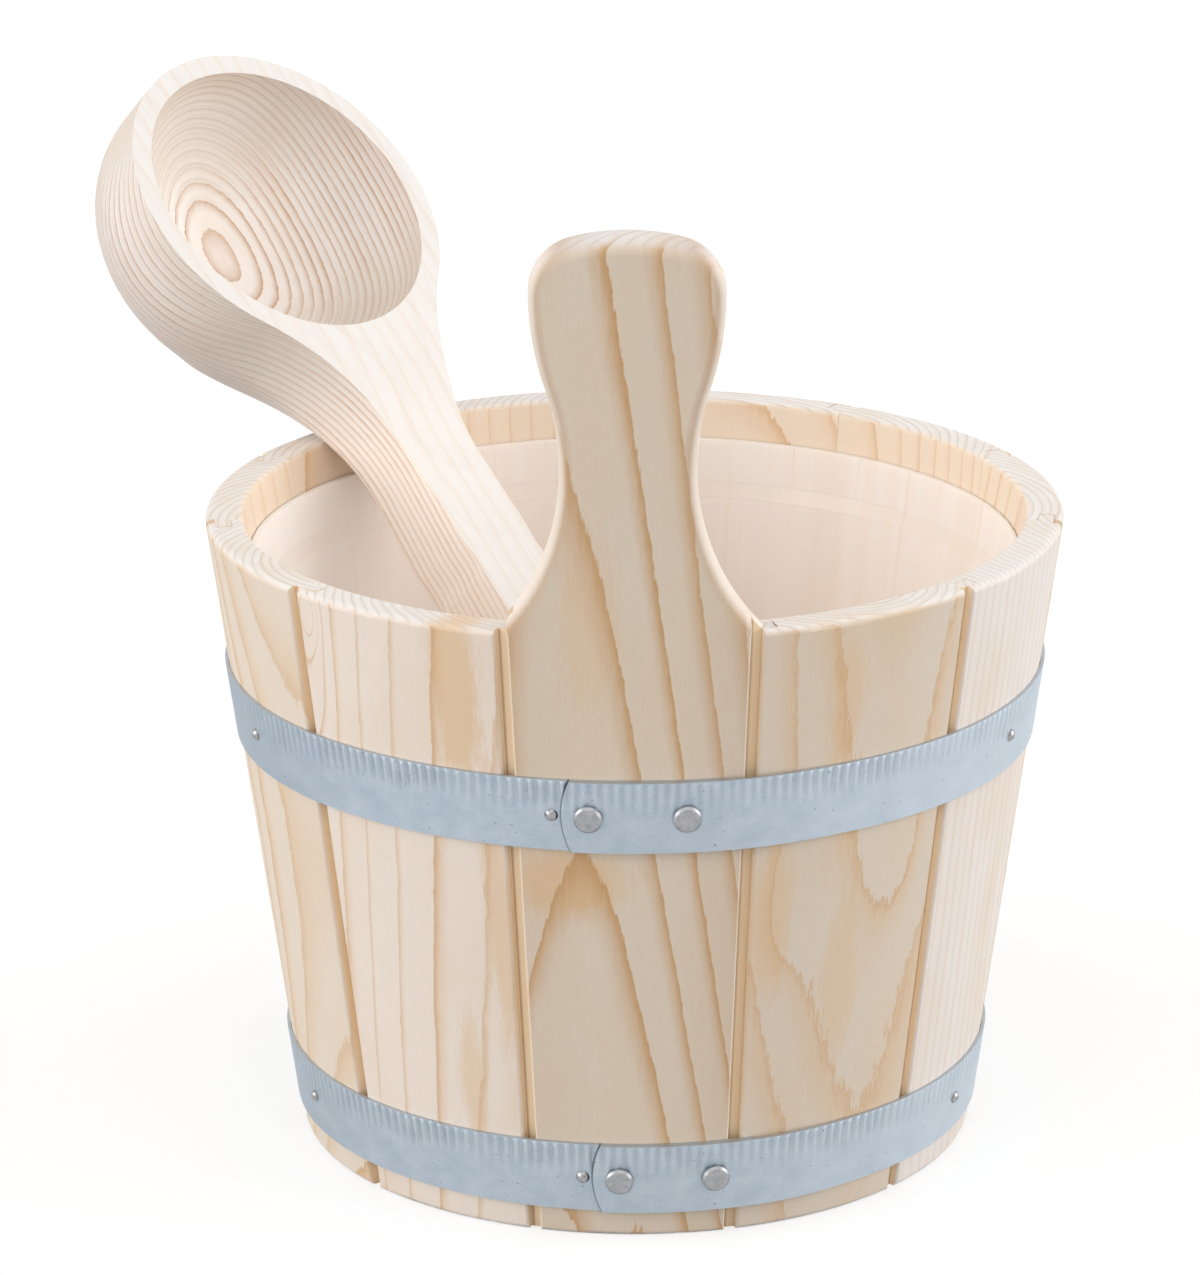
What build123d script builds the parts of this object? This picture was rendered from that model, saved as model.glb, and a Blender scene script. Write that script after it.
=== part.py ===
"""A coopered wooden bucket with one long stave for a handle, its plastic liner and its ladle.

Millimetres. +Z is up and the bucket stands on Z = 0, with its axis on Z. The long stave is at the
front, towards -Y. An azimuth is an angle in degrees from the front, growing towards +X.
"""

from build123d import *
import math
import os

# Barrel
STAVE_COUNT = 11
STAVE_HEIGHT = 174.0
RIM_RADIUS = 115.7
FOOT_RADIUS = 92.0
WALL = 10.0
RIM_ROUND = 1.6
FOOT_ROUND = 1.5

# Joint between two staves: a tongue in a groove, with a sunk line left open outside
EDGE_ROUND = 1.0
SEAM_WIDTH = 3.2
SEAM_DEPTH = 2.4
TONGUE_THICKNESS = 4.2
TONGUE_REACH = 5.4
JOINT_FIT = 0.1
GROOVE_SPARE = 0.5

# Bottom, held in a groove cut round the inside of the staves
BOTTOM_THICKNESS = 12.0
BOTTOM_LIP = 6.0
CROZE_DEPTH = 4.0
CROZE_HEIGHT = 20.0
CROZE_FIT = 0.15
BOARD_NAMES = ("left", "middle", "right")
BOARD_GAP = 0.1
DOWEL_RADIUS = 3.0
DOWEL_LENGTH = 32.0
DOWEL_FIT = 0.1
DOWEL_SPACING = 84.0

# Handle, as the upper end of the long stave, measured along its outer face from the rim
HANDLE_RISE = 107.2
HANDLE_HEAD_RISE = 90.8
HANDLE_HEAD_WIDTH = 48.8
HANDLE_NECK_RISE = 43.8
HANDLE_NECK_WIDTH = 34.4
HANDLE_FLARE_RADIUS = 70.4
HANDLE_NECK_RADIUS = 75.0
HANDLE_CORNER_RADIUS = 15.0
HANDLE_EDGE_ROUND = 4.0
HANDLE_ROOT = 6.0

# Hoops, cut from flat strip and riveted where the outer end laps over the inner end
HOOP_WIDTH = 20.0
HOOP_THICKNESS = 0.9
HOOP_FIT = 0.1
HOOP_END_BULGE = 2.2
LAP_PAST_RIVET = 10.0
LAP_RAMP = 36.0
RAMP_SHARES = (0, 0.2, 0.4, 0.6, 0.8, 1)
UPPER_HOOP_HEIGHT = 124.0
LOWER_HOOP_HEIGHT = 18.0
UPPER_HOOP_END = -17.4
LOWER_HOOP_END = -10.2
RIVET_INSET = 7.0
RIVET_SPACING = 24.8

# Rivets and nails
RIVET_HEAD_RADIUS = 3.7
RIVET_HEAD_HEIGHT = 1.5
RIVET_HEAD_BEVEL = 0.6
RIVET_SHANK_RADIUS = 2.0
RIVET_TAIL_RADIUS = 3.2
RIVET_TAIL_HEIGHT = 1.0
NAIL_HEAD_RADIUS = 1.75
NAIL_HEAD_HEIGHT = 1.1
NAIL_SHANK_RADIUS = 0.9
NAIL_LENGTH = 5.0
NAIL_FROM_END = 2.6
HOOP_NAIL_COUNT = 5
PIN_FIT = 0.05

# Liner
LINER_WALL = 1.6
LINER_FIT = 0.4
LINER_DROP = 11.0
LINER_SHOULDER_DROP = 27.0
LINER_SHOULDER_HEIGHT = 4.0
LINER_STEP = 1.0
LINER_CORNER = 9.0
LINER_FLOOR_FIT = 0.3

# Ladle, in its own frame: X along the handle from the bowl's centre, Z out of the open side
BOWL_RADIUS = 49.3
BOWL_DEPTH = 45.0
BOWL_CORNER = 30.0
HOLLOW_RADIUS = 43.3
HOLLOW_DEPTH = 37.0
LADLE_REACH = 267.0
LADLE_WIDTH = 24.4
LADLE_TOP_DIP = 3.1
LADLE_WAIST_DEPTH = 25.5
LADLE_HANDLE_DEPTH = 29.6
LADLE_HANDLE_CORNER = 5.0
LADLE_FLARE_RADIUS = 80.0
LADLE_NECK_START = 15.0
LADLE_NECK_END = 74.0
LADLE_SWELL_END = 125.0
LADLE_END_ROUND = 7.0
LADLE_TRIM = 0.4
LADLE_INSET = 4.0
LADLE_FOOT_PAST = 37.5
LADLE_AZIMUTH = -131.05
LADLE_ASIDE = 0.8
LADLE_FIT = 0.3
CURVE_SHARE = 0.5523
LADLE_RUN_SHARES = (0, 0.17, 0.3, 0.4, 0.5, 0.6, 0.73, 0.87, 1)
REST_SAMPLES = 400
REST_STEPS = 40

OVERRUN = 5.0


# Sizes that follow from the ones above
STAVE_ANGLE = 360 / STAVE_COUNT
HALF_STAVE = STAVE_ANGLE / 2
SLOPE = (RIM_RADIUS - FOOT_RADIUS) / STAVE_HEIGHT
TAPER = math.atan(SLOPE)
WALL_ACROSS = WALL / math.cos(TAPER)
SLANT_HEIGHT = STAVE_HEIGHT / math.cos(TAPER)
SLANT_CUT = SLANT_HEIGHT + OVERRUN + OVERRUN
HALF_SEAM = SEAM_WIDTH / 2
TONGUE_TOP = SEAM_DEPTH + JOINT_FIT
TONGUE_BACK = TONGUE_TOP + TONGUE_THICKNESS
LAP_LIFT = HOOP_FIT + HOOP_THICKNESS + HOOP_FIT
NAILED_STAVES = [round(index * STAVE_COUNT / HOOP_NAIL_COUNT) for index in range(1, HOOP_NAIL_COUNT)]
BOTTOM_UNDERSIDE = CROZE_HEIGHT - BOTTOM_THICKNESS / 2
BOTTOM_TOP = CROZE_HEIGHT + BOTTOM_THICKNESS / 2
LINER_UNDERSIDE = BOTTOM_TOP + LINER_FLOOR_FIT
LINER_FLOOR = LINER_UNDERSIDE + LINER_WALL


def outer_radius(height):
    """Outside radius of the barrel at a height."""
    return FOOT_RADIUS + SLOPE * height


def inner_radius(height):
    """Inside radius of the barrel at a height."""
    return outer_radius(height) - WALL_ACROSS


def radial(azimuth):
    """Level direction that points straight out of the barrel."""
    angle = math.radians(azimuth)
    return Vector(math.sin(angle), -math.cos(angle), 0)


def tangent(azimuth):
    """Level direction along the barrel, towards growing azimuth."""
    angle = math.radians(azimuth)
    return Vector(math.cos(angle), math.sin(angle), 0)


def up_slant(azimuth):
    """Direction up the outside of a stave."""
    return radial(azimuth) * math.sin(TAPER) + Vector(0, 0, 1) * math.cos(TAPER)


def off_face(azimuth):
    """Direction square to the outside of a stave."""
    return radial(azimuth) * math.cos(TAPER) - Vector(0, 0, 1) * math.sin(TAPER)


def on_barrel(azimuth, height):
    """Point on the outside of the barrel."""
    return radial(azimuth) * outer_radius(height) + Vector(0, 0, 1) * height


def upright_plane(azimuth):
    """Upright plane through the barrel's axis: X outwards, Y up."""
    return Plane(origin=(0, 0, 0), x_dir=radial(azimuth), z_dir=-tangent(azimuth))


def seam_plane(azimuth):
    """Plane across a seam below the foot: X past the seam, Y into the wall, Z up the slant."""
    origin = on_barrel(azimuth, 0) - up_slant(azimuth) * OVERRUN
    return Plane(origin=origin, x_dir=tangent(azimuth), z_dir=up_slant(azimuth))


def seat(azimuth, height, lift=0):
    """Plane that lies on the barrel: X along it, Y up the stave, Z out of it."""
    origin = on_barrel(azimuth, height) + off_face(azimuth) * lift
    return Plane(origin=origin, x_dir=tangent(azimuth), z_dir=off_face(azimuth))


def strip_plane(azimuth, height, lift=0):
    """Plane across a hoop's strip: X out of the barrel, Y up the slant."""
    origin = on_barrel(azimuth, height) + off_face(azimuth) * lift
    return Plane(origin=origin, x_dir=off_face(azimuth), z_dir=-tangent(azimuth))


def arc_azimuth(arc, height):
    """Azimuth of a place given by its distance round the barrel from the front."""
    return math.degrees(arc / outer_radius(height))


def ease(share):
    """Share of a smooth change that is done, from 0 to 1."""
    held = min(max(share, 0), 1)
    return held * held * (3 - 2 * held)


# Places of the rivets and nails of each hoop
HOOPS = (
    ("upper", UPPER_HOOP_HEIGHT, UPPER_HOOP_END),
    ("lower", LOWER_HOOP_HEIGHT, LOWER_HOOP_END),
)


def rivet_seats(height, end_arc, lift=0):
    """Planes on which the two rivets of a hoop stand."""
    arcs = (end_arc + RIVET_INSET, end_arc + RIVET_INSET + RIVET_SPACING)
    return [seat(arc_azimuth(arc, height), height, lift) for arc in arcs]


def nail_seats(height, end_arc, lift=0):
    """Planes for the nails of a hoop: one beside the lap, the others midway on staves."""
    azimuths = [arc_azimuth(end_arc - NAIL_FROM_END, height)]
    azimuths += [number * STAVE_ANGLE for number in NAILED_STAVES]
    return [seat(azimuth, height, lift) for azimuth in azimuths]


# Staves
def wall_profile(azimuth):
    """Lengthwise section of a stave, with its rounded ends and the groove for the bottom."""
    with BuildSketch(upright_plane(azimuth)) as profile:
        with BuildLine():
            Polyline(
                (outer_radius(0), 0),
                (outer_radius(STAVE_HEIGHT), STAVE_HEIGHT),
                (inner_radius(STAVE_HEIGHT), STAVE_HEIGHT),
                (inner_radius(0), 0),
                close=True,
            )
        make_face()
        fillet(profile.vertices().group_by(Axis.Y)[-1], radius=RIM_ROUND)
        fillet(profile.vertices().group_by(Axis.Y)[0].sort_by(Axis.X)[-1], radius=FOOT_ROUND)
        with Locations((inner_radius(CROZE_HEIGHT), CROZE_HEIGHT)):
            Rectangle(
                CROZE_DEPTH + CROZE_DEPTH,
                BOTTOM_LIP + CROZE_FIT + CROZE_FIT,
                mode=Mode.SUBTRACT,
            )
    return profile.sketch


def tongue_waste(azimuth):
    """What is cut from the edge of a stave to leave a rounded outer corner and a tongue."""
    past = TONGUE_REACH + OVERRUN + OVERRUN
    with BuildSketch(seam_plane(azimuth)) as waste:
        with BuildLine():
            Polyline(
                (-HALF_SEAM, EDGE_ROUND),
                (-HALF_SEAM, TONGUE_TOP),
                (TONGUE_REACH, TONGUE_TOP),
                (TONGUE_REACH, TONGUE_BACK),
                (-JOINT_FIT / 2, TONGUE_BACK),
                (-JOINT_FIT / 2, WALL + OVERRUN),
                (past, WALL + OVERRUN),
                (past, -OVERRUN),
                (-HALF_SEAM - EDGE_ROUND, -OVERRUN),
                (-HALF_SEAM - EDGE_ROUND, 0),
            )
            TangentArc((-HALF_SEAM - EDGE_ROUND, 0), (-HALF_SEAM, EDGE_ROUND), tangent=(1, 0))
        make_face()
    return waste.sketch


def groove_waste(azimuth):
    """What is cut from the other edge to leave a rounded outer corner and a groove."""
    past = TONGUE_REACH + OVERRUN + OVERRUN
    reach = TONGUE_REACH + GROOVE_SPARE
    with BuildSketch(seam_plane(azimuth)) as waste:
        with BuildLine():
            Polyline(
                (HALF_SEAM, EDGE_ROUND),
                (HALF_SEAM, SEAM_DEPTH),
                (reach, SEAM_DEPTH),
                (reach, TONGUE_BACK + JOINT_FIT),
                (JOINT_FIT / 2, TONGUE_BACK + JOINT_FIT),
                (JOINT_FIT / 2, WALL + OVERRUN),
                (-past, WALL + OVERRUN),
                (-past, -OVERRUN),
                (HALF_SEAM + EDGE_ROUND, -OVERRUN),
                (HALF_SEAM + EDGE_ROUND, 0),
            )
            TangentArc((HALF_SEAM + EDGE_ROUND, 0), (HALF_SEAM, EDGE_ROUND), tangent=(-1, 0))
        make_face()
    return waste.sketch


def nail_hole():
    """Blind hole for a nail's shank, at the seat that is in force."""
    return Cylinder(
        NAIL_SHANK_RADIUS + PIN_FIT,
        2 * (NAIL_LENGTH + PIN_FIT),
        mode=Mode.SUBTRACT,
    )


os.makedirs("parts", exist_ok=True)

TONGUE_ANGLE = math.degrees((TONGUE_REACH + OVERRUN) / FOOT_RADIUS)

for number in range(1, STAVE_COUNT):
    middle = number * STAVE_ANGLE
    start = middle - HALF_STAVE
    end = middle + HALF_STAVE
    with BuildPart() as stave:
        revolve(wall_profile(start), axis=Axis.Z, revolution_arc=STAVE_ANGLE + TONGUE_ANGLE)
        extrude(groove_waste(start), amount=SLANT_CUT, mode=Mode.SUBTRACT)
        extrude(tongue_waste(end), amount=SLANT_CUT, mode=Mode.SUBTRACT)
        if number in NAILED_STAVES:
            with Locations([seat(middle, height) for _, height, _ in HOOPS]):
                nail_hole()
    stave.part.label = f"stave_{number:02d}"
    export_step(stave.part, f"parts/stave_{number:02d}.step")


# The long stave and its handle
def handle_outline():
    """Front view of the handle, drawn flat on the face of the long stave from the rim up."""
    neck = HANDLE_NECK_WIDTH / 2
    head = HANDLE_HEAD_WIDTH / 2
    swell = head - neck
    cheek = HANDLE_HEAD_RISE - HANDLE_NECK_RISE
    turn_share = HANDLE_NECK_RADIUS * 2 * swell / (swell**2 + cheek**2)
    drop = HANDLE_RISE - HANDLE_HEAD_RISE
    corner = HANDLE_CORNER_RADIUS
    crown = ((head - corner) ** 2 + drop**2 - corner**2) / (2 * (drop - corner))
    lean = math.atan2(head - corner, crown - drop)
    corner_end = (crown * math.sin(lean), HANDLE_RISE - crown * (1 - math.cos(lean)))
    below = HANDLE_NECK_RISE + HANDLE_ROOT + OVERRUN
    flare = HANDLE_FLARE_RADIUS - math.sqrt(HANDLE_FLARE_RADIUS**2 - below**2)
    with BuildSketch(seat(0, STAVE_HEIGHT)) as outline:
        with BuildLine():
            RadiusArc(
                (neck + flare, HANDLE_NECK_RISE - below),
                (neck, HANDLE_NECK_RISE),
                HANDLE_FLARE_RADIUS,
            )
            waist = TangentArc(
                (neck, HANDLE_NECK_RISE),
                (neck + swell * turn_share, HANDLE_NECK_RISE + cheek * turn_share),
                tangent=(0, 1),
            )
            TangentArc(waist @ 1, (head, HANDLE_HEAD_RISE), tangent=waist % 1)
            bend = TangentArc((head, HANDLE_HEAD_RISE), corner_end, tangent=(0, 1))
            TangentArc(bend @ 1, (0, HANDLE_RISE), tangent=bend % 1)
            Line((0, HANDLE_NECK_RISE - below), (neck + flare, HANDLE_NECK_RISE - below))
            mirror(about=Plane.YZ)
        make_face()
    return outline.sketch


with BuildPart() as handle_stave:
    foot = STAVE_HEIGHT - HANDLE_ROOT
    top = STAVE_HEIGHT + HANDLE_RISE + OVERRUN
    with BuildSketch(upright_plane(-STAVE_ANGLE)):
        with BuildLine():
            Polyline(
                (outer_radius(foot), foot),
                (outer_radius(top), top),
                (inner_radius(top), top),
                (inner_radius(foot), foot),
                close=True,
            )
        make_face()
    revolve(axis=Axis.Z, revolution_arc=STAVE_ANGLE + STAVE_ANGLE)
    extrude(handle_outline(), amount=WALL + WALL, both=True, mode=Mode.INTERSECT)
    rims = handle_stave.faces().filter_by(GeomType.CONE).edges()
    fillet(rims.filter_by(GeomType.CIRCLE, reverse=True), radius=HANDLE_EDGE_ROUND)
    extrude(groove_waste(-HALF_STAVE), amount=SLANT_CUT, mode=Mode.SUBTRACT)
    extrude(tongue_waste(HALF_STAVE), amount=SLANT_CUT, mode=Mode.SUBTRACT)
    with BuildPart(mode=Mode.PRIVATE) as below_rim:
        revolve(wall_profile(-HALF_STAVE), axis=Axis.Z, revolution_arc=STAVE_ANGLE + TONGUE_ANGLE)
        extrude(groove_waste(-HALF_STAVE), amount=SLANT_CUT, mode=Mode.SUBTRACT)
        extrude(tongue_waste(HALF_STAVE), amount=SLANT_CUT, mode=Mode.SUBTRACT)
    add(below_rim.part)
    with Locations([nail_seats(height, end_arc)[0] for _, height, end_arc in HOOPS]):
        nail_hole()
    with Locations([place for _, height, end_arc in HOOPS for place in rivet_seats(height, end_arc)]):
        Cylinder(
            RIVET_TAIL_RADIUS + PIN_FIT,
            2 * (RIVET_TAIL_HEIGHT + PIN_FIT),
            mode=Mode.SUBTRACT,
        )

handle_stave.part.label = "handle_stave"
export_step(handle_stave.part, "parts/handle_stave.step")


# Bottom of three boards, dowelled edge to edge
LIP_RADIUS = inner_radius(CROZE_HEIGHT) + CROZE_DEPTH - CROZE_FIT
BODY_RADIUS = inner_radius(BOTTOM_UNDERSIDE) - CROZE_FIT
BOARD_WIDTH = 2 * LIP_RADIUS / len(BOARD_NAMES)
DOWEL_PLACES = [
    (side * BOARD_WIDTH / 2, along * DOWEL_SPACING / 2, CROZE_HEIGHT)
    for side in (-1, 1)
    for along in (-1, 1)
]

for index, name in enumerate(BOARD_NAMES):
    offset = (index - 1) * BOARD_WIDTH
    with BuildPart() as board:
        with BuildSketch(Plane.XY.offset(BOTTOM_UNDERSIDE)):
            Circle(BODY_RADIUS)
        extrude(amount=BOTTOM_THICKNESS)
        with BuildSketch(Plane.XY.offset(CROZE_HEIGHT - BOTTOM_LIP / 2)):
            Circle(LIP_RADIUS)
        extrude(amount=BOTTOM_LIP)
        with BuildSketch(Plane.XY.offset(BOTTOM_UNDERSIDE - OVERRUN)):
            with Locations((offset, 0)):
                Rectangle(BOARD_WIDTH - BOARD_GAP, 2 * (LIP_RADIUS + OVERRUN))
        extrude(amount=BOTTOM_THICKNESS + OVERRUN + OVERRUN, mode=Mode.INTERSECT)
        with Locations(DOWEL_PLACES):
            Cylinder(
                DOWEL_RADIUS + DOWEL_FIT,
                DOWEL_LENGTH + DOWEL_FIT + DOWEL_FIT,
                rotation=(0, 90, 0),
                mode=Mode.SUBTRACT,
            )
    board.part.label = f"bottom_board_{name}"
    export_step(board.part, f"parts/bottom_board_{name}.step")

with BuildPart() as bottom_dowels:
    with Locations(DOWEL_PLACES):
        Cylinder(DOWEL_RADIUS, DOWEL_LENGTH, rotation=(0, 90, 0))

bottom_dowels.part.label = "bottom_dowels"
export_step(bottom_dowels.part, "parts/bottom_dowels.step")


# Hoops
for side, height, end_arc in HOOPS:
    lap_start = arc_azimuth(end_arc, height)
    inner_end = arc_azimuth(end_arc + RIVET_INSET + RIVET_SPACING + LAP_PAST_RIVET, height)
    ramp_top = inner_end + arc_azimuth(HOOP_THICKNESS, height)
    ramp_foot = ramp_top + arc_azimuth(LAP_RAMP, height)
    with BuildPart() as hoop:
        with BuildSketch(strip_plane(ramp_foot, height, HOOP_FIT)):
            Rectangle(HOOP_THICKNESS, HOOP_WIDTH, align=(Align.MIN, Align.CENTER))
        revolve(axis=Axis.Z, revolution_arc=360 - ramp_foot + inner_end)
        for share in RAMP_SHARES:
            azimuth = ramp_foot + (ramp_top - ramp_foot) * share
            lift = HOOP_FIT + (LAP_LIFT - HOOP_FIT) * ease(share)
            with BuildSketch(strip_plane(azimuth, height, lift)):
                Rectangle(HOOP_THICKNESS, HOOP_WIDTH, align=(Align.MIN, Align.CENTER))
        loft()
        with BuildSketch(strip_plane(lap_start, height, LAP_LIFT)):
            Rectangle(HOOP_THICKNESS, HOOP_WIDTH, align=(Align.MIN, Align.CENTER))
        revolve(axis=Axis.Z, revolution_arc=ramp_top - lap_start)
        with BuildSketch(seat(lap_start, height, LAP_LIFT - HOOP_FIT / 2)):
            with BuildLine():
                ThreePointArc(
                    (HOOP_END_BULGE, -HOOP_WIDTH / 2),
                    (0, 0),
                    (HOOP_END_BULGE, HOOP_WIDTH / 2),
                )
                Polyline(
                    (HOOP_END_BULGE, HOOP_WIDTH / 2),
                    (HOOP_END_BULGE, HOOP_WIDTH),
                    (-HOOP_END_BULGE, HOOP_WIDTH),
                    (-HOOP_END_BULGE, -HOOP_WIDTH),
                    (HOOP_END_BULGE, -HOOP_WIDTH),
                    (HOOP_END_BULGE, -HOOP_WIDTH / 2),
                )
            make_face()
        extrude(amount=HOOP_THICKNESS + HOOP_THICKNESS, mode=Mode.SUBTRACT)
        with Locations(rivet_seats(height, end_arc)):
            Cylinder(
                RIVET_SHANK_RADIUS + PIN_FIT,
                2 * (LAP_LIFT + HOOP_THICKNESS + OVERRUN),
                mode=Mode.SUBTRACT,
            )
        with Locations(nail_seats(height, end_arc)):
            Cylinder(
                NAIL_SHANK_RADIUS + PIN_FIT,
                2 * (HOOP_THICKNESS + OVERRUN),
                mode=Mode.SUBTRACT,
            )
    hoop.part.label = f"{side}_hoop"
    export_step(hoop.part, f"parts/{side}_hoop.step")


# Rivets and nails
with BuildPart() as rivet:
    head_base = LAP_LIFT + HOOP_THICKNESS + PIN_FIT
    with BuildSketch(Plane.XZ):
        with BuildLine():
            Polyline(
                (0, -RIVET_TAIL_HEIGHT),
                (RIVET_TAIL_RADIUS, -RIVET_TAIL_HEIGHT),
                (RIVET_TAIL_RADIUS, 0),
                (RIVET_SHANK_RADIUS, 0),
                (RIVET_SHANK_RADIUS, head_base),
                (RIVET_HEAD_RADIUS, head_base),
                (RIVET_HEAD_RADIUS, head_base + RIVET_HEAD_HEIGHT - RIVET_HEAD_BEVEL),
                (RIVET_HEAD_RADIUS - RIVET_HEAD_BEVEL, head_base + RIVET_HEAD_HEIGHT),
                (0, head_base + RIVET_HEAD_HEIGHT),
                close=True,
            )
        make_face()
    revolve(axis=Axis.Z)

with BuildPart() as nail:
    nail_base = HOOP_FIT + HOOP_THICKNESS + PIN_FIT
    with BuildSketch(Plane.XZ):
        with BuildLine():
            Polyline(
                (0, nail_base + NAIL_HEAD_HEIGHT),
                (0, -NAIL_LENGTH),
                (NAIL_SHANK_RADIUS, -NAIL_LENGTH),
                (NAIL_SHANK_RADIUS, nail_base),
                (NAIL_HEAD_RADIUS, nail_base),
            )
            TangentArc(
                (0, nail_base + NAIL_HEAD_HEIGHT),
                (NAIL_HEAD_RADIUS, nail_base),
                tangent=(1, 0),
            )
        make_face()
    revolve(axis=Axis.Z)

for side, height, end_arc in HOOPS:
    with BuildPart() as rivets:
        with Locations(rivet_seats(height, end_arc)):
            add(rivet.part)
    rivets.part.label = f"{side}_hoop_rivets"
    export_step(rivets.part, f"parts/{side}_hoop_rivets.step")
    with BuildPart() as nails:
        with Locations(nail_seats(height, end_arc)):
            add(nail.part)
    nails.part.label = f"{side}_hoop_nails"
    export_step(nails.part, f"parts/{side}_hoop_nails.step")


# Liner
def liner_radius(height, inset):
    """Radius of the liner's wall, inset from the part that lies against the staves."""
    return inner_radius(height) - LINER_FIT - inset


with BuildPart() as liner:
    lip = STAVE_HEIGHT - LINER_DROP
    shoulder = STAVE_HEIGHT - LINER_SHOULDER_DROP
    ledge = shoulder + LINER_SHOULDER_HEIGHT
    with BuildSketch(Plane.XZ) as liner_profile:
        with BuildLine():
            Polyline(
                (0, LINER_UNDERSIDE),
                (liner_radius(LINER_UNDERSIDE, LINER_STEP), LINER_UNDERSIDE),
                (liner_radius(shoulder, LINER_STEP), shoulder),
                (liner_radius(ledge, 0), ledge),
                (liner_radius(lip, 0), lip),
                (liner_radius(lip, LINER_WALL), lip),
                (liner_radius(ledge, LINER_WALL), ledge),
                (liner_radius(shoulder, LINER_STEP + LINER_WALL), shoulder),
                (liner_radius(LINER_FLOOR, LINER_STEP + LINER_WALL), LINER_FLOOR),
                (0, LINER_FLOOR),
                close=True,
            )
        make_face()
        corners = liner_profile.vertices().group_by(Axis.Y)
        fillet(corners[0].sort_by(Axis.X)[-1], radius=LINER_CORNER)
        fillet(corners[1].sort_by(Axis.X)[-1], radius=LINER_CORNER - LINER_WALL)
    revolve(axis=Axis.Z)

liner.part.label = "liner"
export_step(liner.part, "parts/liner.step")


# Ladle, carved from one piece
HANDLE_HALF = LADLE_WIDTH / 2
FLARE_END = math.sqrt(
    (BOWL_RADIUS + LADLE_FLARE_RADIUS) ** 2 - (HANDLE_HALF + LADLE_FLARE_RADIUS) ** 2
)
FLARE_SHARE = BOWL_RADIUS / (BOWL_RADIUS + LADLE_FLARE_RADIUS)
FLARE_START = FLARE_END * FLARE_SHARE
FLARE_START_HALF = (HANDLE_HALF + LADLE_FLARE_RADIUS) * FLARE_SHARE


def ladle_half_width(along):
    """Half the width of the ladle at a distance from the bowl's centre."""
    if along < FLARE_START:
        return math.sqrt(BOWL_RADIUS**2 - along**2) - LADLE_INSET * (1 - along / FLARE_START)
    if along < FLARE_END:
        level = HANDLE_HALF + LADLE_FLARE_RADIUS
        return level - math.sqrt(LADLE_FLARE_RADIUS**2 - (FLARE_END - along) ** 2)
    return HANDLE_HALF


def ladle_depth(along):
    """Depth of the ladle's underside below the bowl's rim."""
    neck = ease((along - LADLE_NECK_START) / (LADLE_NECK_END - LADLE_NECK_START))
    swell = ease((along - LADLE_NECK_END) / (LADLE_SWELL_END - LADLE_NECK_END))
    depth = BOWL_DEPTH + (LADLE_WAIST_DEPTH - BOWL_DEPTH) * neck
    return depth + (LADLE_HANDLE_DEPTH - LADLE_WAIST_DEPTH) * swell


def ladle_section(along):
    """Section of the ladle, square on top and rounded below, a little over size at the sides."""
    half = ladle_half_width(along) + LADLE_TRIM
    depth = ladle_depth(along)
    neck = ease((along - LADLE_NECK_START) / (LADLE_NECK_END - LADLE_NECK_START))
    corner = BOWL_CORNER + (LADLE_HANDLE_CORNER - BOWL_CORNER) * neck
    flat = half - corner
    level = depth - corner
    bend = corner * CURVE_SHARE
    with BuildSketch(Plane(origin=(along, 0, 0), x_dir=(0, 1, 0), z_dir=(1, 0, 0))) as section:
        with BuildLine():
            Polyline((0, -depth), (flat, -depth))
            Bezier((flat, -depth), (flat + bend, -depth), (half, -level - bend), (half, -level))
            Polyline((half, -level), (half, OVERRUN), (0, OVERRUN))
            mirror(about=Plane.YZ)
        make_face()
    return section.sketch


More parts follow.
